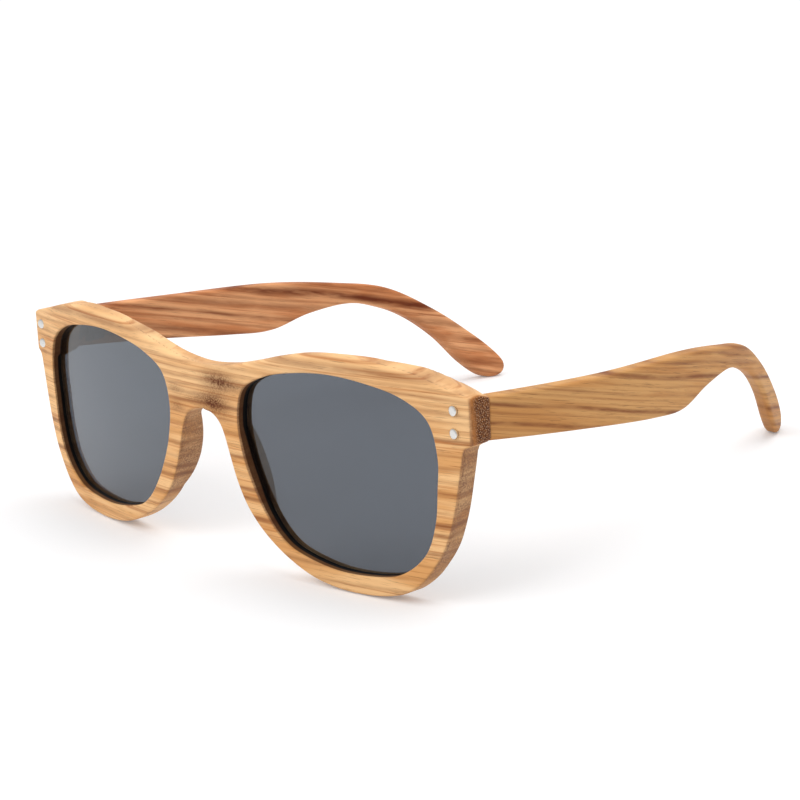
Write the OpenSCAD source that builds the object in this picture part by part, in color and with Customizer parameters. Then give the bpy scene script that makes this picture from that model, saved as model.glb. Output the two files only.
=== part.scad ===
// Wooden sunglasses standing open on their lower rims and temple tips.
// The front faces -Y, the temples run back along +Y, and +Z is up.
// Left and right are the wearer's: the left temple is at +X.
// The pieces are drawn upright, from the middle of the lens openings, and stand() sets them down.

/* [Front] */
// Width across the two end blocks
front_w = 136; // [134:0.5:140]
// Bend radius of the front face, seen from above
front_r = 294; // [270:1:330]
// Thickness of the rims
rim_t = 4.5; // [4.3:0.1:5]
// Width of a lens opening
eye_w = 50; // [48:0.5:51]
// Height of a lens opening
eye_h = 38.7; // [37:0.1:39.5]
// Middle of a lens opening from the centre line
eye_x = 36; // [35.5:0.1:36.5]
// How far the carved nose pads stand out behind the rims
pad_rise = 2.2; // [1.5:0.1:3]

/* [Lens] */
// Thickness of a lens
lens_t = 1.2; // [1:0.1:1.4]
// Depth of the lens behind the front face
lens_back = 2.1; // [1.8:0.1:2.2]
// How far the lens edge reaches into the rim
lens_edge = 0.9; // [0.6:0.1:1.2]

/* [Temples] */
// Thickness of a temple
temple_t = 3.6; // [3.4:0.1:4]
// Bow radius of a temple, seen from above
temple_r = 204; // [196:2:240]
// Turn of the temples from square to the front at the hinge, degrees, below zero outwards
splay = -5.9; // [-6.5:0.1:-4]

/* [Hinges] */
// Radius of the hinge knuckles
knuckle_r = 1.25; // [1.1:0.05:1.35]
// Radius of the hinge screw
screw_r = 0.6; // [0.5:0.05:0.7]
// Radius of a front rivet's head
rivet_head_r = 1; // [0.8:0.05:1.1]
// Spacing of the two front rivets
rivet_gap = 4.3; // [4:0.1:4.6]

/* [Hidden] */
$fn = 48;
smooth_fn = 360;
eps = 0.02;
wood = "burlywood";
temple_wood = "peru";
steel = "silver";
lens_grey = [0.32, 0.34, 0.36, 0.85];

// Meeting plane of the end block and the temple, on the outer face
joint_y = 13.7;
joint_gap = 0.15;
// Bevel on the temple's inner front edge, clear of the fork
temple_bevel = 0.8;
end_x = front_w / 2;
block_bottom = 9.1;
// Slope of an end block's top: its height at the outer corner, and its falls to the back and outwards
slope_z = 17.4;
slope_back = 21.8;
slope_in = 13.3;

// Hinge axis, measured in the upright front
knuckle_gap = 0.3;
hinge_x = end_x - temple_t - knuckle_gap - knuckle_r;
knuckle_back = 1.6;
hinge_y = joint_y + knuckle_back - (end_x - hinge_x) * sin(splay);
hinge_z = 13.05;

// Hinge leaf on the end block, in the hinge's own frame
leaf_t = 1;
leaf_in = -1.45;
leaf_out = 3.75;
leaf_half = 3.5;
fork_gap = 1.7;
cheek_t = 1.1;
rivet_x = 2.6;
rivet_z = 0.6;
rivet_r = 0.5;
rivet_rise = 0.35;
rivet_sink = 0.55;
peen_r = 0.7;
peen_t = 0.4;
screw_head_r = 1.05;
screw_head_h = 0.7;
slot_w = 0.3;

// Spring hinge in the temple, in the hinge's own frame
rod_x = 0.7;
rod_r = 0.5;
eye_t = 1.5;
neck_in = -0.5;
neck_out = 1.25;
neck_end = 2.6;
box_start = neck_end + 0.1;
box_len = 8.8;
box_half_x = 1.6;
box_half_z = 1.9;
box_wall = 1.3;
bore_r = 1.15;
spring_r = 0.85;
wire_r = 0.17;
spring_turns = 5;
spring_start = box_start + box_wall + wire_r + eps;
stop_start = box_start + box_wall + 5.4;
stop_t = 0.9;
stop_r = 1.05;
wing_in = 0.75;
wing_out = 1.55;
wing_start = box_start + 0.9;
wing_len = 5;
wing_half = 3.4;
wood_screw_r = 0.5;
wood_screw_head_r = 0.8;
wood_screw_head_h = 0.4;
wood_screw_z = 2.65;
wood_screw_end = 4;

// Lens opening, as fractions of its half width and half height, from the outer side round the top
EYE = [
    [0.972, 0], [0.984, 0.34], [0.908, 0.68], [0.676, 0.873], [0.35, 0.965], [0, 1],
    [-0.35, 0.965], [-0.676, 0.873], [-0.93, 0.695], [-1.005, 0.357], [-0.96, 0],
    [-0.864, -0.3], [-0.744, -0.556], [-0.596, -0.77], [-0.404, -0.904], [0, -1],
    [0.434, -0.972], [0.67, -0.866], [0.856, -0.638], [0.944, -0.326]
];

// Top edge of the front from the centre line to the end block; the first and last points only guide it
BROW = [
    [-8, 17.7], [0, 17], [8, 17.7], [14.5, 19.1], [21, 20.8], [29, 22.5], [37.5, 23.1],
    [46, 22.8], [54, 21.7], [61, 20], [end_x - 1.2, 18.6], [end_x + 4, 17]
];

// Lower edge from under the end block round the rim to the bridge; the ends only guide it
RIM = [
    [end_x - 1.6, 10], [end_x - 1.8, 7.6], [65.2, 2], [64.2, -3], [63.1, -7], [61.6, -11],
    [59.3, -14.7], [56.4, -18.2], [52.4, -21.1], [47, -22.6], [40, -23.1], [34, -22.7],
    [28.6, -21.5], [23, -19.1], [18.4, -16.3], [14.5, -13], [11.6, -9.4], [9.5, -5.3],
    [8, -1.1], [6.6, 3.1], [5.3, 5.6], [3.2, 7.2], [0, 7.9], [-3.2, 7.2]
];

// End block's edge, square to the temple, with its eased corners and the step under it
BLOCK = [
    [end_x - 0.25, 18.2], [end_x, 17.9], [end_x, 10], [end_x - 0.3, 9.35], [end_x - 0.9, block_bottom],
    [end_x - 1.4, 8.7]
];

// Side of a temple as [distance back, height]: along the top, round the tip and back underneath
TEMPLE = [
    [-20, 19.5], [joint_y, 17.6], [46, 15.4], [72, 13.9], [90, 11.3], [101.2, 8.6], [111.8, 1.9],
    [120.2, -5.4], [125.2, -10.7], [127.2, -14.2], [126.2, -16.9], [122.8, -17], [118.2, -12.9],
    [112.6, -5.8], [106.1, 0.1], [99.5, 3.8], [91.3, 6.1], [80.8, 5.2], [70.9, 2.7], [60, 3.4],
    [38, 6.3], [joint_y, 9.3], [-20, 13.2]
];

// Lowest points of a temple tip and of a rim, as [distance back, height]
tip_low = [127.403, -17.375];
rim_low = [7.2, -23.1];

// The glasses tip back until the rims and the temple tips are level
lean = atan2(tip_low[1] - rim_low[1], tip_low[0] - rim_low[0]);
lift = -rim_low[1] * cos(lean) + rim_low[0] * sin(lean);
// Half of the overall depth, which puts the origin under the middle
half_depth = 64.48;

// Carved nose pads: the back of each pad is a round of this radius
pad_z = -3;
pad_half = 9;
pad_reach = 20;
pad_r = (pad_half * pad_half + pad_rise * pad_rise) / (2 * pad_rise);

// Point at fraction t of the smooth curve from b to c, with a and d its neighbours
function smooth_point(a, b, c, d, t) =
    0.5 * (2 * b + (c - a) * t + (2 * a - 5 * b + 4 * c - d) * t * t + (3 * b - a - 3 * c + d) * t * t * t);

// Smooth curve through all but the first and last points, with n steps to a span
function curve(points, n) = [
    for (i = [1 : len(points) - 3], k = [0 : n - 1])
        smooth_point(points[i - 1], points[i], points[i + 1], points[i + 2], k / n),
    points[len(points) - 2]
];

// Smooth closed curve through all the points
function loop(points, n) = let (m = len(points)) [
    for (i = [0 : m - 1], k = [0 : n - 1])
        smooth_point(points[(i + m - 1) % m], points[i], points[(i + 1) % m], points[(i + 2) % m], k / n)
];

// Closed anticlockwise outline moved outwards by d
function grown(points, d) = let (m = len(points)) [
    for (i = [0 : m - 1])
        let (t = points[(i + 1) % m] - points[(i + m - 1) % m])
        points[i] + d * [t[1], -t[0]] / norm(t)
];

function flipped(points) = [for (i = [len(points) - 1 : -1 : 0]) [-points[i][0], points[i][1]]];

function half_outline() = concat(curve(BROW, 4), BLOCK, curve(RIM, 3));

function eye_outline(d) =
    grown(loop([for (p = EYE) [eye_x + p[0] * eye_w / 2, p[1] * eye_h / 2]], 3), d);

// Depth of the front face at a distance x from the centre line
function face_y(x) = front_r - sqrt(front_r * front_r - x * x);

// Sets the upright glasses down on the ground
module stand() {
    translate([0, -half_depth, lift]) rotate([-lean, 0, 0]) children();
}

// Puts a piece on the wearer's left (1) or right (-1)
module side(way) {
    stand() mirror([way < 0 ? 1 : 0, 0, 0]) children();
}

// Frame of the left hinge: the origin is on its axis and +Y runs along the temple
module at_hinge() {
    translate([hinge_x, hinge_y, hinge_z]) rotate([0, 0, splay]) children();
}

// Prism from front to back over an outline drawn as [x, height]
module through(points, depth = 30) {
    translate([0, depth - 5, 0]) rotate([90, 0, 0]) linear_extrude(depth) polygon(points);
}

// Bent sheet between two depths behind the front face
module bent_sheet(near, far) {
    translate([0, front_r, -40]) difference() {
        cylinder(r = front_r - near, h = 80, $fn = smooth_fn);
        translate([0, 0, -1]) cylinder(r = front_r - far, h = 82, $fn = smooth_fn);
    }
}

// Bar along the hinge's Y axis
module y_bar(r, from, to, x, z) {
    translate([x, from, z]) rotate([-90, 0, 0]) cylinder(r = r, h = to - from);
}

// Bar along the hinge's X axis
module x_bar(r, from, to, y, z) {
    translate([from, y, z]) rotate([0, 90, 0]) cylinder(r = r, h = to - from);
}

// Box between two corners
module span(low, high) {
    translate(low) cube(high - low);
}

// The one wooden piece

// Deeper ends that the temples close against: the back swells out from the rims to the joint
module end_block() {
    back = joint_y - 7 * sin(splay);
    swell = [[46, -0.3], [50.5, 1], [54.8, 2.3], [58, 3.4]];
    translate([0, 0, block_bottom]) linear_extrude(12) polygon(concat(
        [[46, 0], [end_x + 1, 0], [end_x + 1, joint_y + sin(splay)], [end_x - 7, back], [60, back - 0.6]],
        [for (i = [3 : -1 : 0]) [swell[i][0], face_y(swell[i][0]) + rim_t + swell[i][1]]]
    ));
}

// Space over the slope that takes the top of an end block down to the temple
module over_slope() {
    translate([end_x, joint_y, slope_z]) rotate([-slope_back, slope_in, 0])
        translate([-20, -10, 0]) cube([30, 20, 6]);
}

// Rounded backs of the nose pads
module nose_pads() {
    translate([-pad_reach, rim_t + pad_rise - pad_r, pad_z]) rotate([0, 90, 0])
        cylinder(r = pad_r, h = 2 * pad_reach, $fn = 96);
}

module front_blank() {
    half = half_outline();
    outline = concat(half, flipped(half));
    intersection() {
        through(outline);
        union() {
            bent_sheet(0, rim_t);
            intersection() {
                bent_sheet(0, 40);
                union() {
                    end_block();
                    mirror([1, 0, 0]) end_block();
                    nose_pads();
                }
            }
        }
    }
}

module front_frame() {
    color(wood) stand() difference() {
        front_blank();
        for (way = [0, 1]) mirror([way, 0, 0]) {
            through(eye_outline(0));
            over_slope();
            intersection() {
                through(eye_outline(lens_edge + 0.1));
                bent_sheet(lens_back - 0.05, lens_back + lens_t + 0.05);
            }
            at_hinge() {
                leaf_plate(eps);
                rivets(eps);
            }
        }
    }
}

module lens(way) {
    color(lens_grey) side(way) intersection() {
        through(eye_outline(lens_edge));
        bent_sheet(lens_back, lens_back + lens_t);
    }
}

// Hinge leaf, fork and rivets on the front

module leaf_plate(grow) {
    span([leaf_in - grow, -knuckle_back - leaf_t - grow, -leaf_half - grow],
         [leaf_out + grow, -knuckle_back + 2 * grow, leaf_half + grow]);
}

module rivets(grow) {
    face = face_y(hinge_x + rivet_x) - hinge_y;
    for (z = [rivet_z - rivet_gap / 2, rivet_z + rivet_gap / 2]) {
        y_bar(rivet_r + grow, face, -knuckle_back, rivet_x, z);
        y_bar(rivet_head_r + grow, face - rivet_rise, face + rivet_sink, rivet_x, z);
        y_bar(peen_r + grow, -knuckle_back - peen_t, -knuckle_back, rivet_x, z);
    }
}

module front_leaf(way) {
    cheek = (fork_gap + cheek_t) / 2;
    color(steel) side(way) at_hinge() difference() {
        union() {
            leaf_plate(0);
            for (z = [-cheek, cheek]) translate([0, 0, z - cheek_t / 2]) {
                cylinder(r = knuckle_r, h = cheek_t);
                span([-knuckle_r, -knuckle_back, 0], [knuckle_r, 0, cheek_t]);
            }
        }
        translate([0, 0, -5]) cylinder(r = screw_r + eps, h = 10);
        rivets(eps);
    }
}

module front_rivets(way) {
    color(steel) side(way) at_hinge() rivets(0);
}

module hinge_screw(way) {
    half = fork_gap / 2 + cheek_t;
    color(steel) side(way) at_hinge() difference() {
        union() {
            translate([0, 0, -half]) cylinder(r = screw_r, h = 2 * half + eps);
            translate([0, 0, half + eps]) cylinder(r = screw_head_r, h = screw_head_h);
        }
        span([-2, -slot_w / 2, half + screw_head_h / 2], [2, slot_w / 2, half + 2 * screw_head_h]);
    }
}

// Spring hinge: slider, spring, stop and housing

module hinge_slider(way) {
    color(steel) side(way) at_hinge() difference() {
        union() {
            translate([0, 0, -eye_t / 2]) cylinder(r = knuckle_r, h = eye_t);
            span([neck_in, 0, -eye_t / 2], [neck_out, neck_end, eye_t / 2]);
            y_bar(rod_r, neck_end - 0.5, stop_start + stop_t, rod_x, 0);
        }
        translate([0, 0, -2]) cylinder(r = screw_r + 0.04, h = 4);
    }
}

// Wound spring round the rod, from the housing's front wall to the stop
module hinge_spring(way) {
    sides = 6;
    steps = 14;
    rings = spring_turns * steps;
    length = stop_start - spring_start - wire_r - eps;
    points = [
        for (i = [0 : rings], k = [0 : sides - 1])
            let (a = 360 * i / steps, b = 360 * k / sides, r = spring_r + wire_r * cos(b))
            [rod_x + r * cos(a), spring_start + length * i / rings + wire_r * sin(b), r * sin(a)]
    ];
    walls = [
        for (i = [0 : rings - 1], k = [0 : sides - 1])
            let (next = (k + 1) % sides)
            [i * sides + k, (i + 1) * sides + k, (i + 1) * sides + next, i * sides + next]
    ];
    start_cap = [[for (k = [0 : sides - 1]) k]];
    end_cap = [[for (k = [sides - 1 : -1 : 0]) rings * sides + k]];
    color(steel) side(way) at_hinge() polyhedron(points, concat(walls, start_cap, end_cap));
}

module spring_stop(way) {
    color(steel) side(way) at_hinge() difference() {
        y_bar(stop_r, stop_start, stop_start + stop_t, rod_x, 0);
        y_bar(rod_r + eps, stop_start - 1, stop_start + stop_t + 1, rod_x, 0);
    }
}

// Outside of the housing: a box with a wing above and below it
module housing_block(grow) {
    box_end = box_start + box_len;
    span([rod_x - box_half_x - grow, box_start - grow, -box_half_z - grow],
         [rod_x + box_half_x + grow, box_end + grow, box_half_z + grow]);
    span([wing_in - grow, wing_start - grow, -wing_half - grow],
         [wing_out + grow, wing_start + wing_len + grow, wing_half + grow]);
}

module wood_screws(grow) {
    middle = wing_start + wing_len / 2;
    for (z = [-wood_screw_z, wood_screw_z]) {
        x_bar(wood_screw_r + grow, wing_in - eps, wood_screw_end, middle, z);
        x_bar(wood_screw_head_r + grow, wing_in - wood_screw_head_h, wing_in - eps, middle, z);
    }
}

module spring_housing(way) {
    box_end = box_start + box_len;
    color(steel) side(way) at_hinge() difference() {
        housing_block(0);
        y_bar(rod_r + 0.05, box_start - 1, box_end, rod_x, 0);
        y_bar(bore_r, box_start + box_wall, box_end + 1, rod_x, 0);
        wood_screws(eps);
    }
}

module housing_screws(way) {
    color(steel) side(way) at_hinge() wood_screws(0);
}

// Bowed temple, pocketed for the spring housing
module temple(way) {
    outer_x = end_x - hinge_x;
    color(temple_wood) side(way) at_hinge() difference() {
        intersection() {
            translate([outer_x - 40, -hinge_y, -hinge_z]) rotate([90, 0, 90]) linear_extrude(50)
                polygon(curve(TEMPLE, 4));
            translate([outer_x - temple_r, -knuckle_back, -60]) difference() {
                cylinder(r = temple_r, h = 120, $fn = smooth_fn);
                translate([0, 0, -1]) cylinder(r = temple_r - temple_t, h = 122, $fn = smooth_fn);
            }
            span([-60, -knuckle_back + joint_gap, -60], [30, 200, 60]);
        }
        translate([outer_x - temple_t, joint_gap - knuckle_back, -60]) linear_extrude(120)
            polygon(temple_bevel * [[-1, 2], [-1, -1], [2, -1]]);
        housing_block(eps);
        wood_screws(eps);
    }
}

front_frame();
lens(1);  // left_lens
lens(-1);  // right_lens
temple(1);  // left_temple
temple(-1);  // right_temple
front_leaf(1);  // left_front_leaf
front_leaf(-1);  // right_front_leaf
front_rivets(1);  // left_front_rivets
front_rivets(-1);  // right_front_rivets
hinge_screw(1);  // left_hinge_screw
hinge_screw(-1);  // right_hinge_screw
hinge_slider(1);  // left_hinge_slider
hinge_slider(-1);  // right_hinge_slider
spring_housing(1);  // left_spring_housing
spring_housing(-1);  // right_spring_housing
hinge_spring(1);  // left_hinge_spring
hinge_spring(-1);  // right_hinge_spring
spring_stop(1);  // left_spring_stop
spring_stop(-1);  // right_spring_stop
housing_screws(1);  // left_housing_screws
housing_screws(-1);  // right_housing_screws
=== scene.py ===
# %% [markdown]
# # Wooden sunglasses
# A pair of striped-wood sunglasses stands open on a white table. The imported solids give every
# piece its place. This lesson dresses them: it carves the wood with rounded edges, polishes the
# lenses, finishes the hinge metal and then lights the pair and looks at it.

# %% Load the solids
import bpy
import bmesh
import numpy as np
from mathutils import Matrix


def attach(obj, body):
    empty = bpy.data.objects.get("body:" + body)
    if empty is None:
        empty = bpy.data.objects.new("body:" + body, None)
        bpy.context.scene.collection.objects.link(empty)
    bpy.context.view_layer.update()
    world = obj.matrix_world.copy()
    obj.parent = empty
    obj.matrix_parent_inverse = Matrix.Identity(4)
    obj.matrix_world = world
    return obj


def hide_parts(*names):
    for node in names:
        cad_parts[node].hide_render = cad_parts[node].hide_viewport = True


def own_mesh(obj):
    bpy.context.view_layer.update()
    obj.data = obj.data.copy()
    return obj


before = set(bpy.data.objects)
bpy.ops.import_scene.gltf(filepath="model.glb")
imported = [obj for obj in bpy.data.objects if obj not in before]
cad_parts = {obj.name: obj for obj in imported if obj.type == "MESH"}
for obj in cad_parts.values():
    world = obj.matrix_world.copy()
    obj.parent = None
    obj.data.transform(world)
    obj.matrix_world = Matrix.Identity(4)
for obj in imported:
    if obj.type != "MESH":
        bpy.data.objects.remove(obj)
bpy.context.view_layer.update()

# %% [markdown]
# The glasses are worked out upright, in millimetres, from the middle of the lens openings, with
# the front facing -Y. The real pair leans back a little, until its rims and its temple tips both
# touch the table. One function sets points down that way and turns them into metres. Left and
# right are the wearer's, and the right side is the left one mirrored.

# %% Lean and lift
MM = 0.001
LEAN = np.radians(2.7268092)
LIFT, HALF_DEPTH = 23.416376, 64.48
SIDES = ((1, "left"), (-1, "right"))


def stand(points):
    """Turn about X by the lean, lift to the table, centre in depth, and change mm to metres."""
    x, y, z = np.moveaxis(np.asarray(points, float), -1, 0)
    c, s = np.cos(LEAN), np.sin(LEAN)
    return np.stack([x, y * c + z * s - HALF_DEPTH, -y * s + z * c + LIFT], -1) * MM


print("the front leans by", round(float(np.degrees(LEAN)), 2), "degrees")

# %% [markdown]
# The camera stands in front of the wearer's left side, a little above, with a long lens. Its
# place is a direction and a distance from the middle of the front, with a small roll. The middle
# of the front isn't the middle of the picture, so the camera is also moved sideways and up.

# %% Camera
AZIMUTH, ELEVATION, ROLL = np.radians([47.6227, 16.0373, -4.8663])
DISTANCE, FOCAL_PX = 448.22, 2233.4
AIM_PX = (203.98, 446.29)
PICTURE_PX, SENSOR = 800, 36


def put(name, data):
    """A new object that shows this data, linked to the scene."""
    item = bpy.data.objects.new(name, data)
    bpy.context.scene.collection.objects.link(item)
    return item


def aimed(side, up, behind, place):
    """Matrix that turns an object's own axes to three directions and moves it to a place."""
    matrix = np.eye(4)
    matrix[:3, :3] = np.stack([side, up, behind], 1)
    matrix[:3, 3] = place
    return Matrix(matrix.tolist())


back = np.array([np.sin(AZIMUTH), -np.cos(AZIMUTH), 0]) * np.cos(ELEVATION)
back[2] = np.sin(ELEVATION)
level = np.cross([0, 0, 1], back)
level /= np.linalg.norm(level)
upright = np.cross(back, level)
right = np.cos(ROLL) * level + np.sin(ROLL) * upright
top = -np.sin(ROLL) * level + np.cos(ROLL) * upright
side_step = (AIM_PX[0] - PICTURE_PX / 2) / FOCAL_PX * DISTANCE
rise_step = -(AIM_PX[1] - PICTURE_PX / 2) / FOCAL_PX * DISTANCE
eye_place = np.array([0, -HALF_DEPTH, LIFT]) + back * DISTANCE - right * side_step - top * rise_step

camera = put("camera", bpy.data.cameras.new("camera"))
camera.data.sensor_width = SENSOR
camera.data.lens = FOCAL_PX * SENSOR / PICTURE_PX
camera.data.clip_start = 0.01
camera.matrix_world = aimed(right, top, back, eye_place * MM)
bpy.context.scene.camera = camera
print("camera", np.round(eye_place, 1), "lens", round(camera.data.lens, 1))

# %% [markdown]
# Every outline is a smooth curve through a few points: between two of them it is the cubic that
# also heeds their neighbours. Edges are rounded by the distance of a point from its outline.

# %% Curves


def smooth(points, steps, closed=False):
    """Cubic through each pair of points, with the slope at a point set by its two neighbours."""
    p = np.asarray(points, float)
    a, b, c, d = (np.roll(p, s, 0) for s in (1, 0, -1, -2))
    if not closed:
        a, b, c, d = p[:-3], p[1:-2], p[2:-1], p[3:]
    t = (np.arange(steps) / steps)[None, :, None]
    a, b, c, d = (v[:, None] for v in (a, b, c, d))
    square = 2 * a - 5 * b + 4 * c - d
    cube = 3 * b - a - 3 * c + d
    run = 0.5 * (2 * b + (c - a) * t + square * t**2 + cube * t**3)
    run = run.reshape(-1, 2)
    return run if closed else np.vstack([run, p[-2]])


def length_along(line):
    """Length of a polyline up to each of its points."""
    return np.r_[0, np.cumsum(np.linalg.norm(np.diff(line, axis=0), axis=1))]


def spaced(line, count):
    """The same polyline with count points at equal steps along its length."""
    along = length_along(line)
    at = np.linspace(0, along[-1], count)
    return np.stack([np.interp(at, along, line[:, k]) for k in (0, 1)], 1)


def gap_to(points, line):
    """Shortest distance from each point to a polyline: to the nearest place on each segment."""
    p = points.reshape(-1, 1, 2).astype(np.float32)
    a, b = line[None, :-1].astype(np.float32), line[None, 1:].astype(np.float32)
    ab = b - a
    t = np.clip(((p - a) * ab).sum(2) / ((ab**2).sum(2) + 1e-9), 0, 1)
    squares = (((p - a) - ab * t[..., None])**2).sum(2).min(1)
    return np.sqrt(squares).reshape(points.shape[:-1]).astype(float)


def eased(distance, radius):
    """How far a rounded edge has dropped at a distance from the edge: a quarter circle."""
    short = radius - np.minimum(distance, radius)
    return radius - np.sqrt(np.maximum(radius**2 - short**2, 0))


def ramp(value, low, high):
    """Smooth step from 0 at low to 1 at high."""
    t = np.clip((value - low) / (high - low), 0, 1)
    return t * t * (3 - 2 * t)


# %% [markdown]
# The left half of the front has two outlines, in millimetres across and up. The lens opening is
# given in shares of its half width and half height. The outer edge runs from the middle of the
# brow to the end block, and back under the lens to the bridge.

# %% Outlines of the front
EYE_X, EYE_W, EYE_H, END_X = 36.0, 50.0, 38.7, 68.0
BRIDGE_TOP, BRIDGE_LOW = 17.0, 7.9
EYE = np.array([
    [0.972, 0], [0.984, 0.34], [0.908, 0.68], [0.676, 0.873], [0.35, 0.965], [0, 1], [-0.35, 0.965],
    [-0.676, 0.873], [-0.93, 0.695], [-1.005, 0.357], [-0.96, 0], [-0.864, -0.3], [-0.744, -0.556],
    [-0.596, -0.77], [-0.404, -0.904], [0, -1], [0.434, -0.972], [0.67, -0.866], [0.856, -0.638],
    [0.944, -0.326]])
BROW = [
    [-8, 17.7], [0, BRIDGE_TOP], [8, 17.7], [14.5, 19.1], [21, 20.8], [29, 22.5], [37.5, 23.1],
    [46, 22.8], [54, 21.7], [61, 20], [END_X - 1.2, 18.6], [END_X + 4, 17]]
BLOCK = [
    [END_X - 0.25, 18.2], [END_X, 17.9], [END_X, 10], [END_X - 0.3, 9.35], [END_X - 0.9, 9.1],
    [END_X - 1.4, 8.7]]
RIM = [
    [END_X - 1.6, 10], [END_X - 1.8, 7.6], [65.2, 2], [64.2, -3], [63.1, -7], [61.6, -11], [59.3, -14.7],
    [56.4, -18.2], [52.4, -21.1], [47, -22.6], [40, -23.1], [34, -22.7], [28.6, -21.5], [23, -19.1],
    [18.4, -16.3], [14.5, -13], [11.6, -9.4], [9.5, -5.3], [8, -1.1], [6.6, 3.1], [5.3, 5.6], [3.2, 7.2],
    [0, BRIDGE_LOW], [-3.2, 7.2]]
eye_line = smooth(EYE * [EYE_W / 2, EYE_H / 2] + [EYE_X, 0], 12, closed=True)
edge_line = np.vstack([smooth(BROW, 16), BLOCK, smooth(RIM, 12)])
print("half outline", len(edge_line), "points, lens opening", len(eye_line), "points")

# %% [markdown]
# Meshes here are grids: a function gives one point for each pair of row and column. One helper
# turns a list of grids into a single closed mesh, joins the edges that meet, and hands it to the
# body that carries it. A mark is one number for each point, for a finish to read.

# %% Mesh helpers


def grid_faces(rows, cols, start, wrap):
    """Four-cornered faces between neighbouring rows and columns of a grid stored row by row."""
    r, c = np.meshgrid(np.arange(rows - 1), np.arange(cols if wrap else cols - 1), indexing="ij")
    n = (c + 1) % cols
    here, above = r * cols + start, (r + 1) * cols + start
    return np.stack([here + c, here + n, above + n, above + c], -1).reshape(-1, 4)


def mark(mesh, name, values):
    """Store one number for each point of a mesh under a name that its finish can read."""
    layer = mesh.attributes.new(name, "FLOAT", "POINT")
    layer.data.foreach_set("value", np.ravel(values).astype(np.float32))


def solid(name, grids, body, stands_for, weld=2e-6, marks=None):
    """Join grids, each with its points and whether its rows close, into one mesh with its marks."""
    faces, start = [], 0
    for points, wrap in grids:
        rows, cols = points.shape[:2]
        faces.append(grid_faces(rows, cols, start, wrap))
        start += rows * cols
    corners = np.vstack([points.reshape(-1, 3) for points, _ in grids])
    mesh = bpy.data.meshes.new(name)
    mesh.from_pydata(corners.tolist(), [], np.vstack(faces).tolist())
    for key, values in (marks or {}).items():
        mark(mesh, key, np.concatenate([np.ravel(v) for v in values]))
    work = bmesh.new()
    work.from_mesh(mesh)
    bmesh.ops.remove_doubles(work, verts=work.verts, dist=weld)
    bmesh.ops.dissolve_degenerate(work, edges=work.edges, dist=weld / 4)
    bmesh.ops.recalc_face_normals(work, faces=work.faces)
    work.to_mesh(mesh)
    work.free()
    mesh.shade_smooth()
    piece = put(name, mesh)
    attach(piece, body)
    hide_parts(stands_for)
    print(name, len(mesh.polygons), "faces")
    return piece


# %% [markdown]
# ## The wooden front
# The front is sawn from one bent, laminated board and then sanded until its edges are round. A
# flat ring grid fills the space between each lens opening and the outer edge, closed by a short
# line down the middle of the bridge. Its rows lie close together near both edges, where the
# rounding is. The directions from the lens to the edge are evened out, so that no columns cross.

# %% Ring grid
EDGE_POINTS, FULL_WIDTH, EVENING = 441, 6.2, 8.0
EVENED = np.arange(-18, 19)
OUTER_STEPS = np.array([0, 0.05, 0.14, 0.28, 0.48, 0.75, 1.1, 1.55, 2.1, 2.8])
INNER_STEPS = np.array([0, 0.04, 0.12, 0.25, 0.42, 0.65, 1.0, 1.45])
BRIDGE_STEPS = np.array([0.12, 0.3, 0.55, 0.9, 1.35, 1.9, 2.6, 3.5])
outer = spaced(edge_line, EDGE_POINTS)
bridge_mid = (BRIDGE_LOW + BRIDGE_TOP) / 2
middle = np.r_[BRIDGE_LOW + BRIDGE_STEPS, bridge_mid, BRIDGE_TOP - BRIDGE_STEPS[::-1]]
ring = np.vstack([outer, np.c_[np.zeros(len(middle)), middle]])

turn = np.unwrap(np.arctan2(ring[:, 1], ring[:, 0] - EYE_X))
turn = np.minimum.accumulate(turn)
trend = turn[0] - 2 * np.pi * np.arange(len(ring)) / len(ring)
weight = np.exp(-(EVENED / EVENING)**2)
loose = np.concatenate([turn - trend] * 3)
turn = np.convolve(loose, weight / weight.sum(), "same")[len(ring):2 * len(ring)] + trend

eye_turn = np.arctan2(eye_line[:, 1], eye_line[:, 0] - EYE_X)
eye_reach = np.hypot(eye_line[:, 0] - EYE_X, eye_line[:, 1])
order = np.argsort(eye_turn)
seek = np.mod(turn + np.pi, 2 * np.pi) - np.pi
reach = np.interp(seek, eye_turn[order], eye_reach[order], period=2 * np.pi)
hole = np.stack([EYE_X + reach * np.cos(turn), reach * np.sin(turn)], 1)

width = np.linalg.norm(ring - hole, axis=1)
share = np.minimum(1, width / FULL_WIDTH)[None]
inner_at = INNER_STEPS[:, None] * share
outer_at = width[None] - OUTER_STEPS[::-1, None] * share
between = np.linspace(0, 1, 12)[1:-1, None]
walk = np.vstack([inner_at, inner_at[-1:] * (1 - between) + outer_at[:1] * between, outer_at])
flat = hole[None] + (ring - hole)[None] * (walk / width[None])[..., None]
print("ring grid", flat.shape)

# %% [markdown]
# The depth of the front and back faces at each point is the bend of the board plus a quarter
# circle near an edge, so the rounding follows every outline. The end blocks and nose pads only
# change the back face. The brow is sanded rounder than the other edges.

# %% Depths of the front and back faces
FRONT_R, RIM_T, JOINT_Y = 294.0, 4.5, 13.7
SWELL = [[40, 6.4], [46, 7.9], [50.5, 9.85], [54.8, 11.9], [58, 13.5], [61, 14.25], [68, 13.55], [72, 13.2]]
BLOCK_SIDE, BLOCK_FOOT = (46, 47.5), (8.6, 9.9)
TOP_Z, TOP_RISE, TOP_FALL = 17.35, 0.236, 0.411
PAD_RISE, PAD_HALF, PAD_Z, PAD_SHY = 2.2, 9, -3, 0.05
PAD_NEAR, PAD_FAR = (4, 7), (13.5, 19.5)
FRONT_ROUND, BACK_ROUND, EYE_ROUND = 0.45, 0.8, 0.35
BROW_FRONT, BROW_BACK, BRIDGE_HALF = 0.75, 1.2, 12
swell_line = smooth(SWELL, 12)
pad_r = (PAD_HALF**2 + PAD_RISE**2) / (2 * PAD_RISE)


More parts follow.
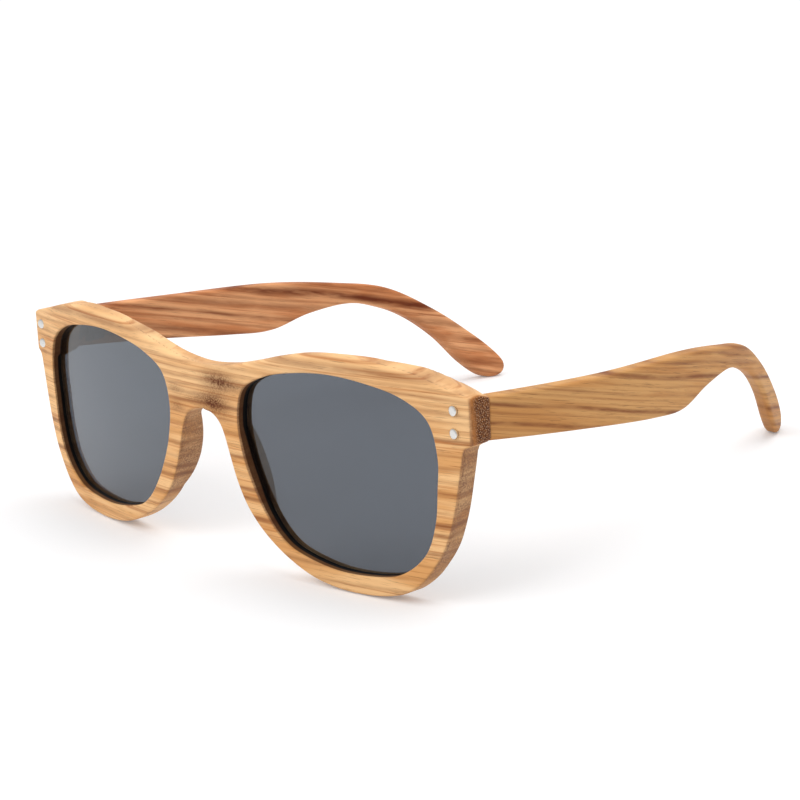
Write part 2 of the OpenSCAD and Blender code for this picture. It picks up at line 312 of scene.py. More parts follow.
def face_y(x):
    """Depth of the bent front face: the sag of its circle at x."""
    return FRONT_R - np.sqrt(FRONT_R**2 - x**2)


def back_y(x, z):
    """Back face: the board's thickness, swelling to a sloped end block and to the nose pad's round."""
    board = face_y(x) + RIM_T
    swell = np.interp(x, swell_line[:, 0], swell_line[:, 1])
    board = board + np.maximum(swell - board, 0) * ramp(x, *BLOCK_SIDE) * ramp(z, *BLOCK_FOOT)
    slope = JOINT_Y + (TOP_Z + TOP_RISE * (END_X - x) - z) / TOP_FALL
    board = np.where(x > BLOCK_SIDE[0], np.minimum(board, slope), board)
    pad = RIM_T + PAD_RISE - PAD_SHY - pad_r + np.sqrt(np.maximum(pad_r**2 - (z - PAD_Z)**2, 0))
    lift = np.maximum(pad - board, 0)
    return board + lift * (1 - ramp(x, *PAD_FAR)) * ramp(x, *PAD_NEAR)


# The outline's other half is mirrored in at the bridge, so that the rounding runs on past the middle.
far_side = edge_line[(edge_line[:, 0] < BRIDGE_HALF) & (edge_line[:, 1] > 0)] * [-1, 1]
on_top = far_side[:, 1] > bridge_mid
upper, lower = far_side[on_top][::-1], far_side[~on_top][::-1]
rim_gap = gap_to(flat, np.vstack([upper, edge_line]))
rim_gap = np.minimum(rim_gap, gap_to(flat, np.vstack([edge_line, lower])))
eye_gap = gap_to(flat, np.vstack([eye_line, eye_line[:1]]))

# The brow's extra rounding fades towards the end blocks, and behind towards the nose as well.
x, z = flat[..., 0], flat[..., 1]
brow = ramp(z, 13.5, 19)
round_front = FRONT_ROUND + BROW_FRONT * brow * ramp(64 - x, 0, 8)
round_back = BACK_ROUND + BROW_BACK * brow * ramp(x, 18, 28) * ramp(46 - x, 0, 10)
y_front = face_y(x) + eased(rim_gap, round_front) + eased(eye_gap, EYE_ROUND)
y_back = back_y(x, z) - eased(rim_gap, round_back) - eased(eye_gap, EYE_ROUND)
front_face = np.stack([x, y_front, z], -1)
back_face = np.stack([x, y_back, z], -1)
across = np.linspace(0, 1, 9)[:, None, None]
rim_wall = front_face[-1:, :EDGE_POINTS] * (1 - across) + back_face[-1:, :EDGE_POINTS] * across
eye_wall = front_face[:1] * (1 - across) + back_face[:1] * across
print("front depth", round(y_front.min(), 2), "to", round(y_back.max(), 2), "mm")

# %% [markdown]
# The stripes of this wood are layers of the trunk, so on the front they lie level, a few
# millimetres apart. The finish draws them, and the mesh carries five marks for it. Two knots of
# turned grain sit at the bridge. The wall of each lens opening is burnt by the cutter, and the
# outer edge is singed by it; deeper in the opening's wall, round the lens groove, the same mark
# also lays a near-black band of char and painted groove shadow. The other three say where a surface
# faces along the grain, where that is the end grain of an end block, and where it faces up, so that
# its pores stay calm.

# %% Marks on the front
PATCHES = [
    (5.9, 14.3, 4.7, 2.0, 0.95), (4.6, 9.4, 4.0, 2.4, 0.9), (-0.6, 10.0, 4.8, 1.2, 0.5),
    (-8.2, 10.8, 2.4, 0.9, 0.55), (-8.0, 7.3, 2.6, 1.0, 0.55), (11.5, 13.7, 3.4, 0.5, 0.5)]
PATCH_DEPTH, BURN_FADE = (3, 6), (0.6, 0.76)
SINGE, SINGE_FADE = 0.045, (0, 0.3)
END_SIDE, END_FOOT, END_BACK = (0.0665, 0.0678), (0.0315, 0.0325), (-0.0566, -0.0528)
END_LEAST = 0.04


def patches(x, z):
    """Sum of soft oval spots, each a bell in both directions."""
    total = np.zeros_like(x)
    for px, pz, wide, high, strength in PATCHES:
        total = total + strength * np.exp(-((x - px) / wide)**2 - ((z - pz) / high)**2)
    return np.clip(total, 0, 1)


def read(piece, what):
    """The places or the normals of a piece's points, one row for each."""
    values = np.empty(len(piece.data.vertices) * 3, np.float32)
    piece.data.vertices.foreach_get(what, values)
    return values.reshape(-1, 3)


def face_along(piece, axis):
    """How squarely each point's surface faces along an axis, from its normal."""
    return np.abs(read(piece, "normal") @ np.asarray(axis, np.float32))


# The lens opening's wall: scorched brown near its front, then a near-black band round the lens groove,
# charred wood and painted groove shadow.
wall_burn_and_shadow = across[..., 0] * (1 - ramp(across[..., 0], *BURN_FADE))
singe = SINGE * (1 - ramp(across[..., 0], *SINGE_FADE))
layout = ((front_face, True, 0.0), (back_face, True, 0.0), (rim_wall, False, singe), (eye_wall, True, wall_burn_and_shadow))
grids, marks = [], {"patch": [], "burn_and_groove_shadow": []}
for way, _ in SIDES:
    for part, wrap, burnt_and_shaded in layout:
        grids.append((stand(part * [way, 1, 1]), wrap))
        px, py, pz = np.moveaxis(part, -1, 0)
        marks["patch"].append(patches(way * px, pz) * (1 - ramp(py, *PATCH_DEPTH)))
        marks["burn_and_groove_shadow"].append(np.broadcast_to(burnt_and_shaded, px.shape))
front = solid("wooden_front", grids, "front", "front_frame", marks=marks)
px, py, pz = read(front, "co").T
at_end = ramp(np.abs(px), *END_SIDE) * ramp(pz, *END_FOOT)
at_end = at_end * (END_LEAST + (1 - END_LEAST) * ramp(py, *END_BACK))
mark(front.data, "side_grain", face_along(front, (1, 0, 0)))
mark(front.data, "top_grain", face_along(front, (0, 0, 1)))
mark(front.data, "end_grain", face_along(front, (1, 0, 0)) * at_end)

# %% [markdown]
# ## The temples
# Each temple is a bowed bar whose side is an outline that swells to a belly, arches over the ear
# and turns down to a round tip. Lines across the bar pair its top edge with its bottom edge. Both
# faces lie on circles seen from above, and all the edges are sanded round, most at the tip.

# %% Temple surface
TEMPLE_T, TEMPLE_R, KNUCKLE_BACK, JOINT_GAP = 3.6, 204.0, 1.6, 0.15
TEMPLE_ROUND, TIP_ROUND, TIP_FROM = 0.7, 0.5, (80, 100)
BAR_STEPS, BAR_COLS, TIP_CROWD = 40, 321, 0.1
BLOCK_TURN = np.radians(-5.9)
HINGE = np.array([62.85, 15.8293816, 13.05])
TEMPLE_TOP = [
    [-20, 19.5], [JOINT_Y, 17.6], [46, 15.4], [72, 13.9], [90, 11.3], [101.2, 8.6], [111.8, 1.9],
    [120.2, -5.4], [125.2, -10.7], [127.2, -14.2], [126.2, -16.9], [122.8, -17]]
TEMPLE_LOW = [
    [-20, 13.2], [JOINT_Y, 9.3], [38, 6.3], [60, 3.4], [70.9, 2.7], [80.8, 5.2], [91.3, 6.1],
    [99.5, 3.8], [106.1, 0.1], [112.6, -5.8], [118.2, -12.9], [122.8, -17], [126.2, -16.9], [127.2, -14.2]]
ACROSS = [
    [[JOINT_Y, 17.6], [JOINT_Y, 9.3]], [[46, 15.4], [45, 5.3]], [[72, 13.9], [71, 2.7]],
    [[90, 11.3], [88, 6]], [[101.2, 8.6], [97, 4.6]], [[111.8, 1.9], [106.1, 0.1]],
    [[120.2, -5.4], [114.8, -8.6]], [[125.2, -10.7], [119.1, -13.9]], [[126.2, -16.9], [126.2, -16.9]]]
EDGE_SHARES = np.array([0, 0.02, 0.06, 0.12, 0.2, 0.3, 0.42]) / 2
ROW_SHARES = np.r_[EDGE_SHARES, 0.3, 0.4, 0.5, 0.6, 0.7, 1 - EDGE_SHARES[::-1]]


def bar_grid():
    """Points across the side of a temple: straight lines from the bottom edge to the top edge."""
    edges, runs, ties = [], [], []
    start = JOINT_Y + JOINT_GAP
    for side, points in enumerate((TEMPLE_TOP, TEMPLE_LOW)):
        line = smooth(points, BAR_STEPS)
        first = [start, np.interp(start, *line[:2 * BAR_STEPS].T)]
        line = np.vstack([first, line[line[:, 0] > start + 0.01]])
        run = length_along(line)
        near = [np.argmin(np.hypot(*(line - pair[side]).T)) for pair in ACROSS]
        ties.append(np.r_[0, run[near[1:-1]], run[-1]])
        edges.append(line)
        runs.append(run)
    u = np.linspace(0, 1, BAR_COLS)
    at_top = (u + TIP_CROWD * np.sin(np.pi * u) / np.pi) * ties[0][-1]
    at_low = np.interp(at_top, ties[0], ties[1])
    high = np.stack([np.interp(at_top, runs[0], edges[0][:, k]) for k in (0, 1)], 1)
    low = np.stack([np.interp(at_low, runs[1], edges[1][:, k]) for k in (0, 1)], 1)
    v = ROW_SHARES[:, None, None]
    return low[None] * (1 - v) + high[None] * v, np.vstack([edges[0], edges[1][::-1]])


def bar_x(y, depth):
    """Sideways place of a point a depth under the temple's outer face, on a circle seen from above."""
    u = y - HINGE[1] + KNUCKLE_BACK
    return END_X - HINGE[0] - TEMPLE_R + np.sqrt((TEMPLE_R - depth)**2 - u**2)


def hinge_place(points, way):
    """From the hinge's own frame to the upright glasses: turned by the splay, mirrored on the right."""
    x, y, z = np.moveaxis(points, -1, 0)
    c, s = np.cos(BLOCK_TURN), np.sin(BLOCK_TURN)
    return np.stack([way * (HINGE[0] + x * c - y * s), HINGE[1] + x * s + y * c, z], -1)


bar, bar_edge = bar_grid()
drop = eased(gap_to(bar, bar_edge), TEMPLE_ROUND + TIP_ROUND * ramp(bar[..., 0], *TIP_FROM))
outside, inside = (
    np.stack([bar_x(bar[..., 0], depth), bar[..., 0] - HINGE[1], bar[..., 1]], -1)
    for depth in (drop, TEMPLE_T - drop))
print("temple grid", bar.shape, "rounding to", round(drop.max(), 2))

# %% [markdown]
# Walls join the two faces along the bottom, the top and the end at the joint. The grain runs
# along the temple, so the end grain faces front and back.

# %% Wooden temples
depths = np.linspace(0, 1, 7)[:, None, None]
walls = [(outside[0], inside[0]), (outside[-1], inside[-1]), (outside[:, 0], inside[:, 0])]
parts = [outside, inside] + [a[None] * (1 - depths) + b[None] * depths for a, b in walls]
temples = {}
for way, name in SIDES:
    grids = [(stand(hinge_place(p, way)), False) for p in parts]
    temple = solid(name + "_wooden_temple", grids, name + "_temple", name + "_temple")
    mark(temple.data, "side_grain", face_along(temple, (0, 1, 0)))
    mark(temple.data, "top_grain", face_along(temple, (0, 0, 1)))
    temples[name] = temple

# %% [markdown]
# ## The lenses
# Each lens is a thin bent sheet, a little larger than its opening, whose edge sits in the groove
# of the rim. Rings of points shrink from its edge to its middle, on the same bend as the front,
# and the last ring is so small that it is welded to one point.

# %% Lens surface
LENS_BACK, LENS_T, LENS_EDGE = 2.1, 1.2, 0.85
RINGS = np.r_[np.linspace(1, 0.06, 30)**0.8, 0.0001]
ahead = np.roll(eye_line, -1, 0) - np.roll(eye_line, 1, 0)
outward = np.stack([ahead[:, 1], -ahead[:, 0]], 1) / np.linalg.norm(ahead, axis=1)[:, None]
lens_edge = eye_line + LENS_EDGE * outward
sheet = np.array([EYE_X, 0]) + (lens_edge - [EYE_X, 0])[None] * RINGS[:, None, None]
for way, name in SIDES:
    skins = []
    for depth in (LENS_BACK, LENS_BACK + LENS_T):
        skins.append(np.stack([way * sheet[..., 0], face_y(sheet[..., 0]) + depth, sheet[..., 1]], -1))
    rim = np.stack([skins[0][0], skins[1][0]])
    grids = [(stand(p), True) for p in skins + [rim]]
    solid(name + "_tinted_lens", grids, "front", name + "_lens", weld=1.5e-5)

# %% [markdown]
# ## Rivets and springs
# Two rivets hold each hinge leaf. A rivet is turned, so its shape is a profile spun round its
# axis: a flat head with an eased edge, a shank and a closed end.

# %% Rivets
RIVET_X, RIVET_Z, RIVET_GAP, RIVET_SIDES = 2.6, 0.6, 4.3, 48
face = face_y(HINGE[0] + RIVET_X) - HINGE[1]
PROFILE = np.array([
    [0, face - 0.35], [0.6, face - 0.345], [0.86, face - 0.325], [0.94, face - 0.29], [0.985, face - 0.23],
    [1, face - 0.15], [1, face + 0.55], [0.5, face + 0.55], [0.5, -2.0], [0.7, -2.0], [0.7, -1.63],
    [0.62, -1.6], [0, -1.6]])
r, y = PROFILE[:, :1], PROFILE[:, 1:]
spin = np.linspace(0, 2 * np.pi, RIVET_SIDES + 1)[:-1]
for way, name in SIDES:
    grids = []
    for z in (RIVET_Z - RIVET_GAP / 2, RIVET_Z + RIVET_GAP / 2):
        turned = np.stack([RIVET_X + r * np.cos(spin), y + 0 * spin, HINGE[2] + z + r * np.sin(spin)], -1)
        grids.append((stand(hinge_place(turned, way)), True))
    solid(name + "_turned_rivets", grids, "front", name + "_front_rivets", weld=1e-6)

# %% [markdown]
# The hinge spring is a round wire wound round the slider's rod: a small circle carried along a
# helix. When the slider is pulled out, the housing's front wall presses the coils together
# against the stop at the rod's end, and the spring keeps about seven tenths of its length.

# %% Springs
ROD_X, COIL_R, WIRE_R, TURNS = 0.7, 0.85, 0.17, 5
COIL_FROM, COIL_TO, TURN_STEPS, WIRE_SIDES = 4.19, 9.21, 36, 12
around = np.linspace(0, 2 * np.pi * TURNS, TURNS * TURN_STEPS + 1)[:, None]
wire = np.linspace(0, 2 * np.pi, WIRE_SIDES + 1)[:-1][None]
radius = COIL_R + WIRE_R * np.cos(wire)
rise = COIL_FROM + (COIL_TO - COIL_FROM) * around / around[-1] + WIRE_R * np.sin(wire)
coil = np.stack([ROD_X + radius * np.cos(around), rise, HINGE[2] + radius * np.sin(around)], -1)
caps = [np.stack([coil[k], np.broadcast_to(coil[k].mean(0), coil[k].shape)]) for k in (0, -1)]
for way, name in SIDES:
    grids = [(stand(hinge_place(p, way)), True) for p in [coil] + caps]
    spring, stood_for = name + "_wound_spring", name + "_hinge_spring"
    piece = solid(spring, grids, name + "_slider", stood_for, weld=1e-7)
    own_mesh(piece)

# %% [markdown]
# ## Finishes
# Colours are written as they look on a screen and turned to linear light by one function. One
# small function adds a node, sets it and links it, and two short ones use it to mix colours and
# to do sums. Patterns are placed in millimetres on the object's own coordinates.

# %% Colour and node helpers


def linear(code):
    """sRGB hex to linear red, green, blue and full alpha, by the standard curve."""
    v = np.array([int(code[i:i + 2], 16) for i in (1, 3, 5)]) / 255
    v = np.where(v <= 0.04045, v / 12.92, ((v + 0.055) / 1.055)**2.4)
    return (*v.tolist(), 1.0)


def add(tree, kind, sockets=None, out=0, **settings):
    """Add a node, set it, give each socket a value or a link, and return one of its outputs."""
    node = tree.nodes.new(kind)
    for key, value in settings.items():
        setattr(node, key, value)
    for key, value in (sockets or {}).items():
        if isinstance(value, bpy.types.NodeSocket):
            tree.links.new(value, node.inputs[key])
        else:
            node.inputs[key].default_value = value
    return node.outputs[out] if node.outputs else None


def mixed(tree, share, under, over):
    """Colour from under to over as the share goes from 0 to 1: sockets 6 and 7 take colours."""
    return add(tree, "ShaderNodeMix", {0: share, 6: under, 7: over}, out=2, data_type="RGBA")


def calc(tree, operation, *values):
    """The result of one sum, such as a product, on values or links."""
    return add(tree, "ShaderNodeMath", dict(enumerate(values)), operation=operation)


def blank(name):
    """A new material with an empty node tree, its shader and its output."""
    material = bpy.data.materials.new(name)
    material.use_nodes = True
    tree = material.node_tree
    tree.nodes.clear()
    shader = add(tree, "ShaderNodeBsdfPrincipled")
    add(tree, "ShaderNodeOutputMaterial", {"Surface": shader})
    return material, tree, shader.node


# %% [markdown]
# Zebrawood, sanded and oiled. Brown late wood makes lines through a honey-coloured ground. Each
# line has a height, a half width and a strength. The front's lines are level. The temples were
# sawn at a slant, so theirs fall towards the back, by a quarter of their run.

# %% Lines of late wood
SLANT, LINE_REACH, MARGIN = 0.25, 1.7, 3
FRONT_LINES = [
    (24.2, 0.4, 0.3), (22.6, 0.3, 0.3), (20.5, 0.9, 0.5), (18.6, 0.3, 0.3), (17.0, 0.4, 0.4),
    (15.6, 0.3, 0.3), (14.1, 0.5, 0.45), (12.5, 0.35, 0.4), (10.8, 0.3, 0.3), (9.0, 0.45, 0.6),
    (6.3, 0.35, 0.3), (3.7, 0.5, 0.4), (1.3, 0.3, 0.25), (-0.9, 0.5, 0.6), (-3.9, 0.3, 0.25),
    (-6.5, 0.5, 0.7), (-8.4, 0.45, 0.8), (-12.2, 0.6, 0.6), (-15.2, 0.3, 0.3), (-18.3, 0.5, 0.4),
    (-21.3, 0.4, 0.35)]
TEMPLE_LINES = {
    "left": [
        (34.2, 0.5, 0.6), (32.4, 0.45, 0.5), (30.5, 0.45, 0.5), (29.4, 0.25, 0.35), (27.4, 0.5, 0.85),
        (25.3, 0.25, 0.3), (23.3, 0.4, 0.4), (22.2, 0.25, 0.3), (19.8, 0.5, 0.85), (18.1, 0.25, 0.3),
        (16.1, 0.45, 0.75), (14.8, 0.25, 0.3), (12.6, 0.4, 0.4), (9, 0.4, 0.4)],
    "right": [
        (33.6, 1.0, 0.6), (30.7, 1.2, 0.95), (28.4, 0.4, 0.4), (26.6, 1.1, 0.5), (23.4, 0.7, 0.7),
        (20.9, 0.4, 0.4), (18.2, 1.0, 0.6), (15.8, 0.5, 0.7), (13.2, 0.9, 0.5), (10.6, 0.5, 0.5)]}


def drawn(tree, height, lines):
    """Strength of the lines at a height: three colour ramps, each rising at every third line."""
    low, high = lines[:, 0].min() - MARGIN, lines[:, 0].max() + MARGIN
    spot = add(tree, "ShaderNodeMapRange", {0: height, 1: low, 2: high})
    so_far = 0.0
    for first in range(3):
        shade = add(tree, "ShaderNodeValToRGB", {"Fac": spot})
        shade.node.color_ramp.interpolation = "EASE"
        stops = shade.node.color_ramp.elements
        stops[0].color = stops[1].color = (0, 0, 0, 1)
        for middle, half, strength in lines[first::3]:
            for shift, value in ((-LINE_REACH, 0), (0, strength), (LINE_REACH, 0)):
                stop = stops.new((middle + shift * half - low) / (high - low))
                stop.color = (value, value, value, 1)
        so_far = calc(tree, "MAXIMUM", so_far, shade)
    return so_far


print("lines on the front", len(FRONT_LINES), "and the temples", [len(v) for v in TEMPLE_LINES.values()])

# %% [markdown]
# The finish lays one tone over another. Soft bands vary the ground, fine streaks and the drawn
# lines run along the grain, short pores fleck it, and the end grain is darker, with pale dots.
# Tables hold the numbers: each grain pattern's length and width in millimetres and its detail,
# how far patterns move a line, the pattern that each mask reads, from where to where and between
# which strengths, the masks that are products of two others, and the tones from the ground up.

# %% Tables of the grain
GRAIN = [
    ("drift", 60, 16, 1), ("ripple", 22, 4, 2), ("band", 60, 4, 3), ("streak", 75, 0.55, 3),
    ("fade", 14, 2.2, 3), ("ragged", 14, 0.25, 3), ("pore", 6, 0.13, 2)]
WOBBLE = {"drift": 3.4, "ripple": 0.8, "ragged": 0.3}
MASKS = [
    ("light", "band", 0.38, 0.62, 0.0, 1.0), ("streak", "streak", 0.5, 0.7, 0.0, 0.65),
    ("fade", "fade", 0.3, 0.62, 0.45, 1.1), ("soft", "fade", 0.3, 0.7, 0.65, 1.0),
    ("pore", "pore", 0.6, 0.68, 0.0, 0.5), ("rough", "speck", 0.38, 0.62, 0.65, 1.05),
    ("faces_side", "side_grain", 0.4, 0.85, 0.0, 0.9), ("amber", "end_grain", 0.0, 0.4, 0.0, 0.85),
    ("faces_end", "end_grain", 0.2, 0.9, 0.0, 1.0), ("dots", "tube", 0.1, 0.2, 1.0, 0.0),
    # The near-black band is charred wood and painted shadow of the lens groove.
    ("scorch", "burn_and_groove_shadow", 0.02, 0.07, 0.0, 0.85), ("char_and_groove_shadow", "burn_and_groove_shadow", 0.26, 0.34, 0.0, 1.0),
    ("calm", "top_grain", 0.45, 0.8, 1.0, 0.1), ("gloss", "streak", 0.3, 0.7, 0.55, 0.45),
    ("dent", "pore", 0.61, 0.68, 0.0, -1.0)]
PRODUCTS = [
    ("pore", "pore", "calm"), ("dent", "dent", "calm"), ("line", "drawn", "fade"),
    ("patch", "knot", "rough"), ("grainy", "soft", "rough"), ("side", "faces_side", "grainy"),
    ("end", "faces_end", "rough"), ("dot", "faces_end", "dots")]
LAYERS = [
    "light", "painted_top_light", "streak", "line", "patch", "pore", "side", "amber", "end", "dot", "scorch", "char_and_groove_shadow"]
MARKS = ["side_grain", "top_grain", "end_grain", "patch", "burn_and_groove_shadow"]
# Heights in mm between which the front's tone is painted lighter: painted light from above on the brow.
TOP_LIGHT_FROM, TOP_LIGHT_TO, LEAST_WIDTH = 27, 42, 9
print("grain patterns", len(GRAIN), "masks", len(MASKS) + len(PRODUCTS), "tones", len(LAYERS) + 1)

# %% [markdown]
# The patterns are noise in the wood's own space, stretched along the grain. Masks cut them to
# ranges, and each tone is mixed over those below it by its mask. Pores are also slightly sunk.

# %% Zebrawood


def grain_patterns(tree, place, along):
    """Noise stretched along the grain, specks, dots of cut pores, and the marks on the mesh."""
    grain = {}
    for key, long, wide, detail in GRAIN:
        size = [1 / max(wide, LEAST_WIDTH)] * 2 + [1 / wide]
        size[along] = 1 / long
        spot = add(tree, "ShaderNodeVectorMath", {0: place, 1: size}, operation="MULTIPLY")
        noise = {"Vector": spot, "Scale": 1.0, "Detail": detail, "Roughness": 0.6}
        grain[key] = add(tree, "ShaderNodeTexNoise", noise)
    grain["speck"] = add(tree, "ShaderNodeTexNoise", {"Vector": place, "Scale": 2.8, "Detail": 3.0})
    for key in MARKS:
        grain[key] = add(tree, "ShaderNodeAttribute", out="Fac", attribute_name=key)
    parts = add(tree, "ShaderNodeSeparateXYZ", {0: place}).node.outputs
    section = add(tree, "ShaderNodeCombineXYZ", {0: parts[1], 1: parts[2]})
    pores = {"Vector": section, "Scale": 2.5, "Randomness": 0.95}
    grain["tube"] = add(tree, "ShaderNodeTexVoronoi", pores, voronoi_dimensions="2D")
    return grain, parts[2]


def grain_masks(tree, grain, up, lines, painted_top_light):
    """How much of each tone shows: the patterns cut to ranges, the lines, and products of two."""
    height = up
    for key, reach in WOBBLE.items():
        height = calc(tree, "MULTIPLY_ADD", grain[key], reach, height)
    height = calc(tree, "SUBTRACT", height, sum(WOBBLE.values()) / 2)
    mask = {"drawn": drawn(tree, height, lines), "knot": grain["patch"]}
    for key, source, *span in MASKS:
        cut = dict(enumerate([grain[source]] + span))
        mask[key] = add(tree, "ShaderNodeMapRange", cut, interpolation_type="SMOOTHSTEP")
    # Painted light: towards the top the front's tone is laid lighter, as if lit more from above.
    mask["painted_top_light"] = add(tree, "ShaderNodeMapRange", {0: up, 1: TOP_LIGHT_FROM, 2: TOP_LIGHT_TO, 3: 0.0, 4: painted_top_light})
    for key, one, two in PRODUCTS:
        mask[key] = calc(tree, "MULTIPLY", mask[one], mask[two])
    return mask


def zebrawood(name, along, tilt, lines, tones, painted_top_light):
    """Turn the place so that the grain lies along one axis, then lay tones over each other."""
    material, tree, shader = blank(name)
    place = add(tree, "ShaderNodeTexCoord", out="Object")
    turned = {"Vector": place, "Rotation": (tilt, 0, 0), "Scale": (1000, 1000, 1000)}
    place = add(tree, "ShaderNodeMapping", turned)
    grain, up = grain_patterns(tree, place, along)
    mask = grain_masks(tree, grain, up, lines, painted_top_light)
    colour = linear(tones["ground"])
    for key in LAYERS:
        colour = mixed(tree, mask[key], colour, linear(tones[key]))
    relief = calc(tree, "MULTIPLY_ADD", grain["streak"], 0.35, mask["dent"])
    bump = add(tree, "ShaderNodeBump", {"Height": relief, "Strength": 0.2, "Distance": 0.0001})
    for key, value in (("Base Color", colour), ("Roughness", mask["gloss"]), ("Normal", bump)):
        tree.links.new(value, shader.inputs[key])
    shader.inputs["IOR"].default_value = 1.48
    shader.inputs["Specular IOR Level"].default_value = 0.15
    return material


# %% [markdown]
# The three wooden pieces come from different boards: the front is the palest, and the right
# temple is redder than the left one. Towards its brow the front is painted a little lighter still:
# painted light from above.

# %% Wood finishes
# The near-black tone is charred wood and painted shadow in the lens groove.
SHARED = {
    "patch": "#5A2A0E", "side": "#87614A", "amber": "#B06C2E", "end": "#542D16", "dot": "#D9B08A",
    # The cream tone laid over the front's brow is painted light from above.
    "scorch": "#4A2813", "painted_top_light": "#F9D2A0", "char_and_groove_shadow": "#0E0B09"}
FRONT_TONES = {
    "ground": "#DBA063", "light": "#F0C088", "streak": "#B26932", "line": "#783812", "pore": "#5A3014"}
TEMPLE_TONES = {
    "left": {
        "ground": "#C4894E", "light": "#D29E63", "streak": "#A6703E", "line": "#7A4222", "pore": "#4E2B16",
        "side": "#AD7542"},
    "right": {
        "ground": "#D08655", "light": "#EAAA78", "streak": "#A86036", "line": "#6A2E12", "pore": "#7A4A30",
        "side": "#B87B50"}}
lines = np.array(sorted(FRONT_LINES)) + [LIFT, 0, 0]
front_finish = zebrawood("oiled_zebrawood_front", 0, 0.0, lines, {**SHARED, **FRONT_TONES}, 0.35)
front.data.materials.append(front_finish)
fall = np.arctan(SLANT + np.tan(LEAN))
for name, tones in TEMPLE_TONES.items():
    lines = np.array(sorted(TEMPLE_LINES[name])) + [LIFT - np.tan(fall) * HALF_DEPTH, 0, 0]
    lines[:, :2] *= np.cos(fall)
    finish = zebrawood(f"oiled_zebrawood_{name}_temple", 1, fall, lines, {**SHARED, **tones}, 0.0)
    temples[name].data.materials.append(finish)
print("wood finishes", 1 + len(TEMPLE_TONES))

# %% [markdown]
# The lenses are dyed sheet, polished on both faces. The dye lets through about a tenth of the
# light and the faces mirror a little of the room, so a lens looks mid grey over white and nearly
# black over the dark wall of its groove.

# %% Dyed lens
lens_finish, tree, shader = blank("dyed_polished_lens")
place = add(tree, "ShaderNodeTexCoord", out="Object")
haze = add(tree, "ShaderNodeTexNoise", {"Vector": place, "Scale": 60.0, "Detail": 2.0})
tree.links.new(mixed(tree, haze, linear("#525860"), linear("#545A63")), shader.inputs["Base Color"])
shader.inputs["Roughness"].default_value = 0.02
shader.inputs["IOR"].default_value = 1.5
shader.inputs["Specular IOR Level"].default_value = 0.2
shader.inputs["Transmission Weight"].default_value = 1.0
for _, name in SIDES:
    bpy.data.objects[name + "_tinted_lens"].data.materials.append(lens_finish)
print("lens finish", lens_finish.name)

# %% [markdown]
# The rivet heads are stainless steel, turned and polished. The hinge behind them is blackened
# steel, brushed on its stamped leaves and housings, and its spring is drawn wire. Fine lines in
# one direction change the metal's roughness and give it a faint bump.

# %% Steel
LINE_STRETCH, DULL = 0.04, 0.82


def steel(name, code, rough, lines_mm, axis):
    """Metal with fine lines along an axis, a tone that varies a little, and roughness to match."""
    material, tree, shader = blank(name)
    size = [1000 / lines_mm * (LINE_STRETCH if k == axis else 1.0) for k in range(3)]
    place = add(tree, "ShaderNodeTexCoord", out="Object")
    place = add(tree, "ShaderNodeMapping", {"Vector": place, "Scale": size})
    line = add(tree, "ShaderNodeTexNoise", {"Vector": place, "Scale": 1.0, "Detail": 3.0})
    bright = linear(code)
    dull = tuple(DULL * v for v in bright[:3]) + (1.0,)
    worn = add(tree, "ShaderNodeMapRange", {0: line, 3: rough * 0.8, 4: rough * 1.3})
    bump = add(tree, "ShaderNodeBump", {"Height": line, "Strength": 0.08, "Distance": 0.00003})
    tone = mixed(tree, line, dull, bright)
    for key, value in (("Base Color", tone), ("Roughness", worn), ("Normal", bump)):
        tree.links.new(value, shader.inputs[key])
    shader.inputs["Metallic"].default_value = 1.0
    return material


finishes = {
    "rivet": steel("turned_stainless_rivet", "#E4E3E0", 0.28, 0.35, 0),
    "leaf": steel("blackened_steel_hinge", "#57575A", 0.42, 0.12, 2),
    "housing": steel("blackened_steel_housing", "#4F4F52", 0.42, 0.14, 1),
    "screw": steel("turned_steel_screw", "#77777A", 0.35, 0.2, 2),
    "spring": steel("drawn_spring_wire", "#A9A9A8", 0.32, 0.1, 1)}
WEARING = {
    "front_leaf": "leaf", "hinge_slider": "leaf", "spring_stop": "leaf", "spring_housing": "housing",
    "hinge_screw": "screw", "housing_screws": "screw"}
for _, name in SIDES:
    for part, finish in WEARING.items():
        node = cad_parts[name + "_" + part]
        node.data.materials.clear()
        node.data.materials.append(finishes[finish])
    bpy.data.objects[name + "_turned_rivets"].data.materials.append(finishes["rivet"])
    bpy.data.objects[name + "_wound_spring"].data.materials.append(finishes["spring"])
print("metal finishes", len(finishes))

# %% [markdown]
# ## Table and light
# The table is a white card. To the eye, and in and through the lenses, it glows a little, so that
# it shows white but keeps the soft shadow under the rims and tips. Further out it is plain white.

# %% Table
REACH, GLOW, PLAIN_WHITE = 0.8, 0.17, 1.05
SHADOW_TO, PLAIN_FROM = 0.14, 0.4
WHITE = (1, 1, 1, 1)
corners = np.array([[-1, -1, 0], [1, -1, 0], [1, 1, 0], [-1, 1, 0]]) * REACH
table_mesh = bpy.data.meshes.new("white_table")
table_mesh.from_pydata(corners.tolist(), [], [[0, 1, 2, 3]])
table = put("white_table", table_mesh)
table_finish, tree, shader = blank("white_card")
shader.inputs["Base Color"].default_value = linear("#E4E4E5")
shader.inputs["Roughness"].default_value = 0.9
rays = add(tree, "ShaderNodeLightPath").node.outputs
seen = calc(tree, "MAXIMUM", rays["Is Camera Ray"], rays["Is Glossy Ray"])
seen = calc(tree, "MAXIMUM", seen, rays["Is Transmission Ray"])
glow = add(tree, "ShaderNodeEmission", {"Color": WHITE, "Strength": GLOW})
white = add(tree, "ShaderNodeAddShader", {0: shader.outputs[0], 1: glow})
place = add(tree, "ShaderNodeTexCoord", out="Object")
apart = add(tree, "ShaderNodeVectorMath", {0: place}, out="Value", operation="LENGTH")
far = {0: apart, 1: SHADOW_TO, 2: PLAIN_FROM}
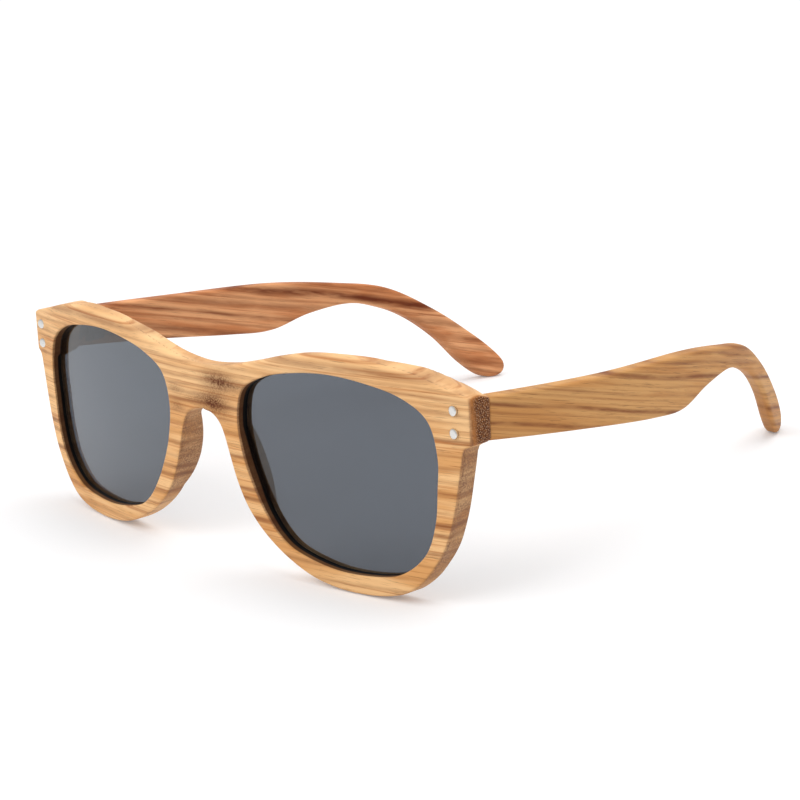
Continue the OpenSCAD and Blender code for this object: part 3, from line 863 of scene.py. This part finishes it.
apart = add(tree, "ShaderNodeMapRange", far, interpolation_type="SMOOTHSTEP")
plain = add(tree, "ShaderNodeEmission", {"Color": WHITE, "Strength": PLAIN_WHITE})
white = add(tree, "ShaderNodeMixShader", {0: apart, 1: white, 2: plain})
pick = add(tree, "ShaderNodeMixShader", {0: seen, 1: shader.outputs[0], 2: white})
output = next(n for n in tree.nodes if n.type == "OUTPUT_MATERIAL")
tree.links.new(pick, output.inputs["Surface"])
table_mesh.materials.append(table_finish)
print("table", 2 * REACH, "m square")

# %% [markdown]
# The light is soft, as under a studio tent: a white world that lights the pair less brightly than
# it shows, a large lamp in front of it and another overhead.

# %% Light
TENT_LIGHT = 0.68
scene = bpy.context.scene
scene.view_settings.view_transform = "Standard"
scene.world = bpy.data.worlds.new("studio_tent")
scene.world.use_nodes = True
sky = scene.world.node_tree
sky.nodes.clear()
rays = add(sky, "ShaderNodeLightPath").node.outputs
seen = calc(sky, "MAXIMUM", rays["Is Camera Ray"], rays["Is Transmission Ray"])
strength = add(sky, "ShaderNodeMapRange", {0: seen, 3: TENT_LIGHT, 4: PLAIN_WHITE})
tent = add(sky, "ShaderNodeBackground", {"Color": WHITE, "Strength": strength})
add(sky, "ShaderNodeOutputWorld", {"Surface": tent})


def lamp(name, place, aim, size, power):
    """A square soft light at a place, turned to face a point."""
    data = bpy.data.lights.new(name, "AREA")
    data.size = size
    data.energy = power
    item = put(name, data)
    item.visible_glossy = False
    away = np.array(place, float) - np.array(aim, float)
    away /= np.linalg.norm(away)
    side = np.cross([0.0, 0.01, 1.0], away)
    side /= np.linalg.norm(side)
    item.matrix_world = aimed(side, np.cross(away, side), away, place)
    print("lamp", name, size, "m,", power, "W")


lamp("key", (-0.25, -0.75, 0.75), (0, 0, 0.02), 0.8, 4.5)
lamp("overhead", (0.15, 0.25, 0.9), (0, 0, 0.02), 0.9, 5.0)

# %% [markdown]
# Last, the scene is brought up to date.

# %% Update
bpy.context.view_layer.update()
